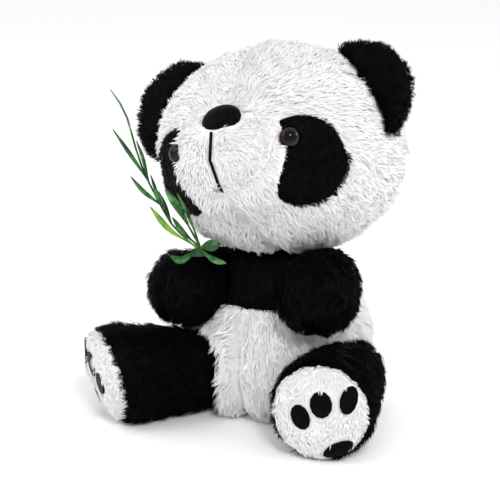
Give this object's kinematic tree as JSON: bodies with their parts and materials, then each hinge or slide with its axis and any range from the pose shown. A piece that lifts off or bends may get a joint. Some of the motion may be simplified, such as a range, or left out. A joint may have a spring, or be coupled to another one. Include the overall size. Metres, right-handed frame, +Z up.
{
  "type": "plush panda",
  "caption": "Seated plush panda with round ears, stubby limbs and a leafy sprig held at the chin; the stuffed head, arms, legs and ears give a little.",
  "frame": {"origin": "in the flat seat panel below the middle of the torso, on the surface the toy sits on", "axes": "+Z up, the toy faces -Y, its own left side is +X"},
  "size_m": [0.1767, 0.1593, 0.2012],
  "materials": {
    "white_plush": "long white faux-fur pile",
    "black_plush": "long black faux-fur pile",
    "stuffing": "polyester fibre filling",
    "black_thread": "black satin-stitch embroidery and felt",
    "label_tape": "woven tape, blank",
    "eye_plastic": "polished clear plastic over a brown and black disc",
    "washer_plastic": "moulded",
    "leaf_plastic": "soft moulded leaf, slightly glossy",
    "yellow_leaf_plastic": "soft moulded leaf, slightly glossy",
    "tie_plastic": "green florist tie"
  },
  "bodies": {
    "torso": {"seat_panel": "white_plush", "belly_left_panel": "white_plush", "belly_right_panel": "white_plush", "torso_back_panel": "white_plush", "chest_band": "black_plush", "shoulder_band": "black_plush", "torso_stuffing": "stuffing", "care_label": "label_tape"},
    "neck": {"neck_stuffing": "stuffing"},
    "head": {"head_left_panel": "white_plush", "head_right_panel": "white_plush", "head_back_panel": "white_plush", "muzzle_panel": "white_plush", "eye_patch_left": "black_plush", "eye_left": "eye_plastic", "eye_washer_left": "washer_plastic", "eye_patch_right": "black_plush", "eye_right": "eye_plastic", "eye_washer_right": "washer_plastic", "nose": "black_thread", "mouth_stitch": "black_thread", "head_stuffing": "stuffing"},
    "ear_left": {"ear_left_front_panel": "black_plush", "ear_left_back_panel": "black_plush", "ear_left_stuffing": "stuffing"},
    "arm_left": {"arm_left_outer_panel": "black_plush", "arm_left_inner_panel": "black_plush", "arm_left_stuffing": "stuffing"},
    "leg_left": {"leg_left_panel": "black_plush", "leg_left_sole": "white_plush", "leg_left_stuffing": "stuffing", "leg_left_toe_1": "black_thread", "leg_left_toe_2": "black_thread", "leg_left_toe_3": "black_thread", "leg_left_heel_pad": "black_thread"},
    "ear_right": {"ear_right_front_panel": "black_plush", "ear_right_back_panel": "black_plush", "ear_right_stuffing": "stuffing"},
    "arm_right": {"arm_right_outer_panel": "black_plush", "arm_right_inner_panel": "black_plush", "arm_right_stuffing": "stuffing"},
    "leg_right": {"leg_right_panel": "black_plush", "leg_right_sole": "white_plush", "leg_right_stuffing": "stuffing", "leg_right_toe_1": "black_thread", "leg_right_toe_2": "black_thread", "leg_right_toe_3": "black_thread", "leg_right_heel_pad": "black_thread"},
    "sprig": {"sprig_tall_spray": "leaf_plastic", "sprig_short_spray": "leaf_plastic", "sprig_yellow_blade": "yellow_leaf_plastic", "sprig_base_leaves": "leaf_plastic", "sprig_tie": "tie_plastic"}
  },
  "joints": [
    {"name": "neck_turn", "type": "hinge", "parent": "torso", "child": "neck", "pos_m": [0, 0.002, 0.091], "axis": [0, 0, 1], "range_deg": [-12, 12], "stiffness_Nm_per_rad": 0.4},
    {"name": "head_nod", "type": "hinge", "parent": "neck", "child": "head", "pos_m": [0, 0.002, 0.091], "axis": [1, 0, 0], "range_deg": [-6, 3], "stiffness_Nm_per_rad": 3},
    {"name": "ear_left_bend", "type": "hinge", "parent": "head", "child": "ear_left", "pos_m": [0.05417, 0.00563, 0.17798], "axis": [0.5483, -0.4337, -0.715], "range_deg": [-10, 10], "stiffness_Nm_per_rad": 0.02},
    {"name": "ear_right_bend", "type": "hinge", "parent": "head", "child": "ear_right", "pos_m": [-0.0622, 0.00353, 0.15454], "axis": [0.218, 0.4473, 0.8674], "range_deg": [-10, 10], "stiffness_Nm_per_rad": 0.02},
    {"name": "arm_left_swing", "type": "hinge", "parent": "torso", "child": "arm_left", "pos_m": [0.034, -0.008, 0.073], "axis": [0, 0, 1], "range_deg": [0, 40], "stiffness_Nm_per_rad": 0.1},
    {"name": "arm_right_swing", "type": "hinge", "parent": "torso", "child": "arm_right", "pos_m": [-0.0285, -0.01, 0.068], "axis": [0, 0, -1], "range_deg": [0, 40], "stiffness_Nm_per_rad": 0.1},
    {"name": "leg_left_splay", "type": "hinge", "parent": "torso", "child": "leg_left", "pos_m": [0.0485, -0.01, 0.0205], "axis": [0, 0, 1], "range_deg": [-5, 12], "stiffness_Nm_per_rad": 0.1},
    {"name": "leg_right_splay", "type": "hinge", "parent": "torso", "child": "leg_right", "pos_m": [-0.015, -0.0295, 0.0205], "axis": [0, 0, -1], "range_deg": [-5, 12], "stiffness_Nm_per_rad": 0.1},
    {"name": "sprig_sway", "type": "hinge", "parent": "arm_right", "child": "sprig", "pos_m": [-0.0271, -0.0417, 0.0915], "axis": [0.4364, -0.8565, 0.2756], "range_deg": [-6, 6], "stiffness_Nm_per_rad": 0.01}
  ]
}
